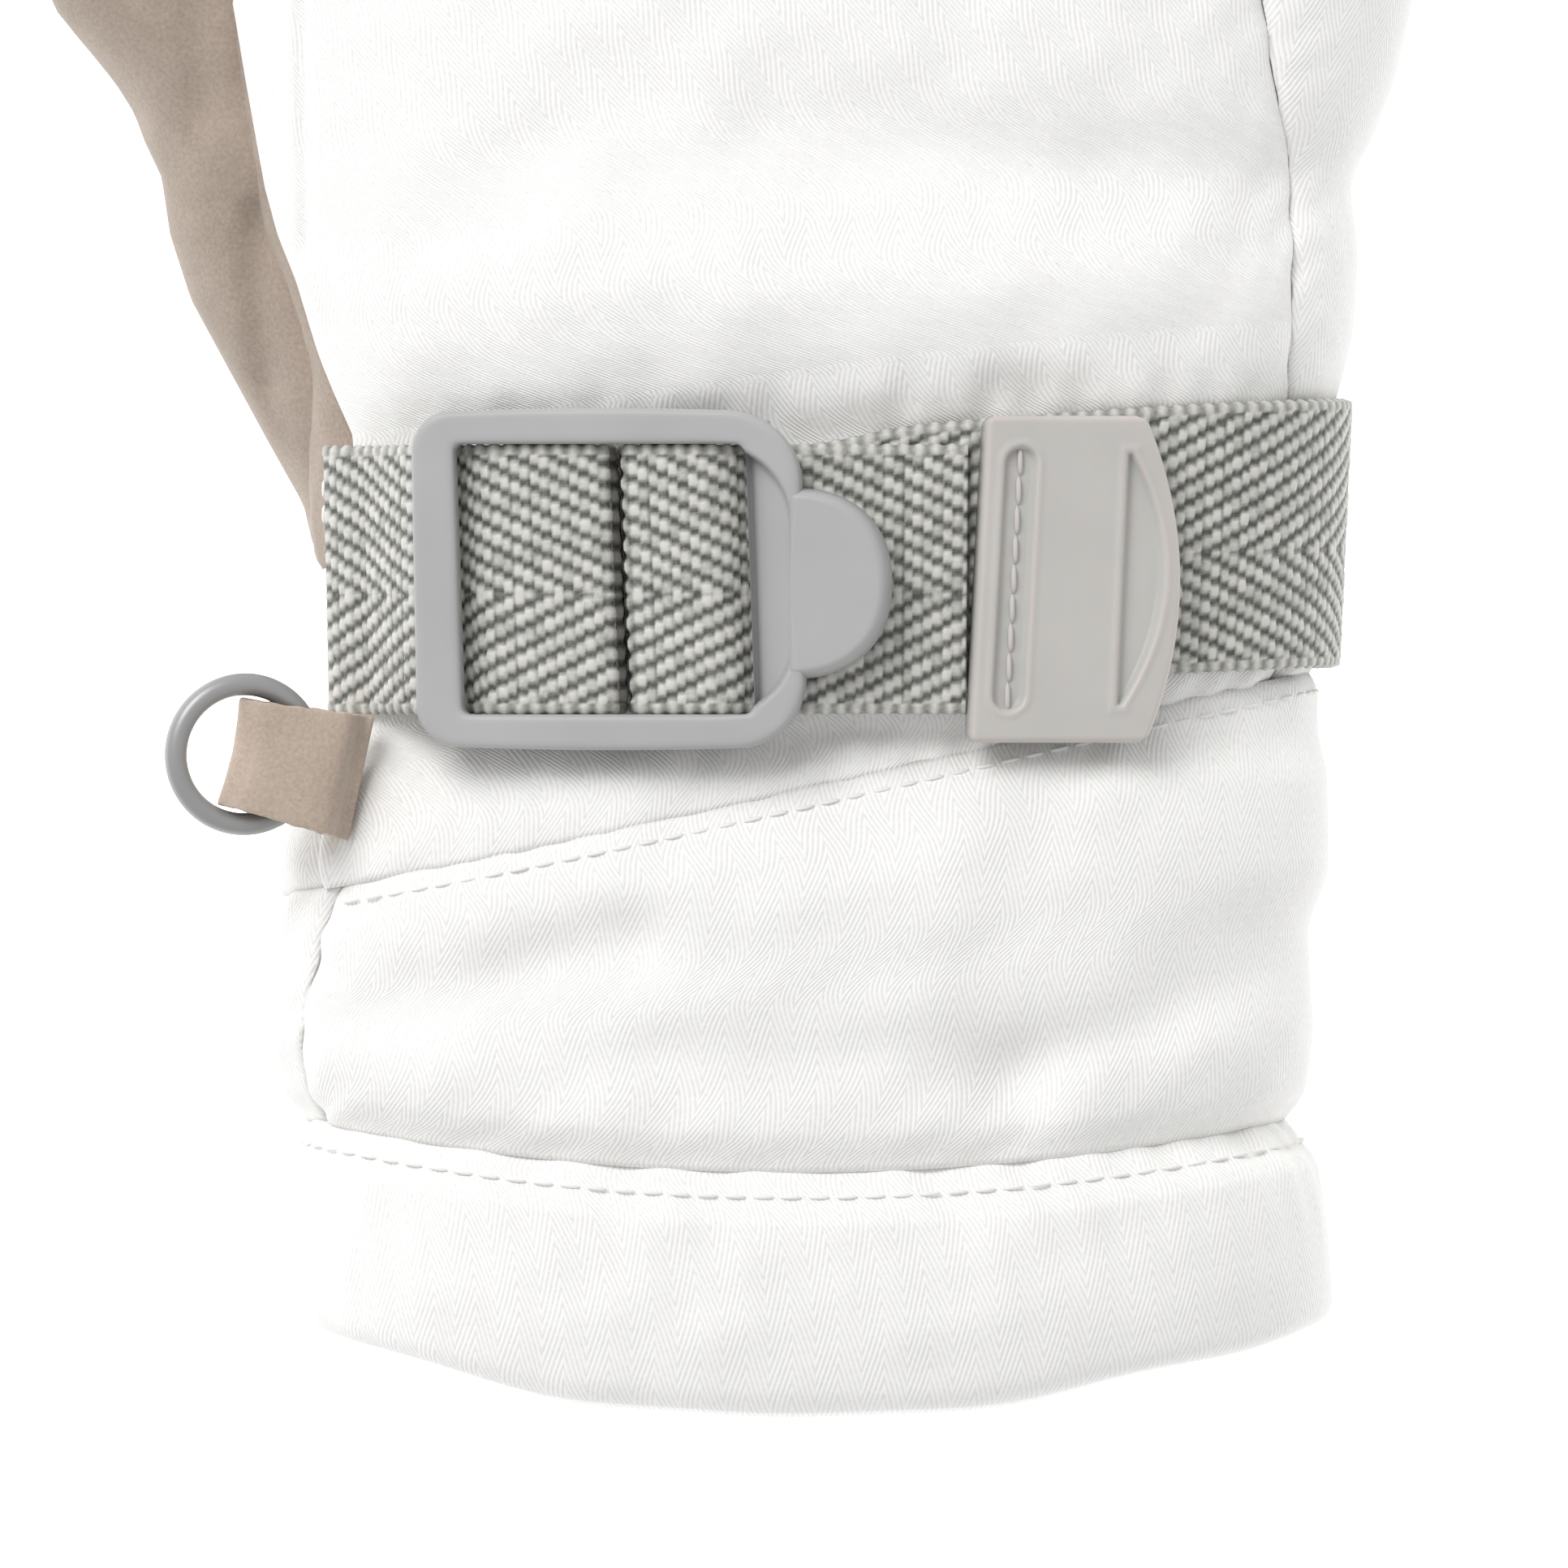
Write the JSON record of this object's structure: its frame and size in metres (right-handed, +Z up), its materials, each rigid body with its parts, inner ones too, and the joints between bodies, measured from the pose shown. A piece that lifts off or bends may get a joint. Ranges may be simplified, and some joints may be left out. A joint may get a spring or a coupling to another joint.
{
  "type": "ski glove",
  "caption": "White padded ski glove for the right hand, with suede palm and thumb, webbing wrist strap, ladder-lock buckle and hanging ring.",
  "frame": {"origin": "on the resting plane, under the middle of the wrist strap", "axes": "+Z up through the back of the hand, +Y towards the finger tips, -X towards the thumb"},
  "size_m": [0.1541, 0.2631, 0.0495],
  "materials": {
    "white_fabric": "off-white herringbone cloth",
    "suede": "taupe suede, fine nap",
    "webbing": "light grey chevron twill webbing",
    "buckle_plastic": "matte mid grey moulded plastic",
    "tab_rubber": "translucent warm grey rubber",
    "ring_metal": "matte grey paint"
  },
  "bodies": {
    "root": {"hand_back": "white_fabric", "outer_side_panel": "white_fabric", "hand_palm": "suede", "thumb": "suede", "index_finger": "white_fabric", "middle_finger": "white_fabric", "ring_finger": "white_fabric", "little_finger": "white_fabric", "gauntlet": "white_fabric", "cuff_gusset": "white_fabric", "hem_band": "white_fabric", "left_strap": "webbing", "right_strap": "webbing", "buckle": "buckle_plastic", "strap_end_tab": "tab_rubber", "ring_loop": "suede", "ring": "ring_metal"}
  },
  "joints": []
}
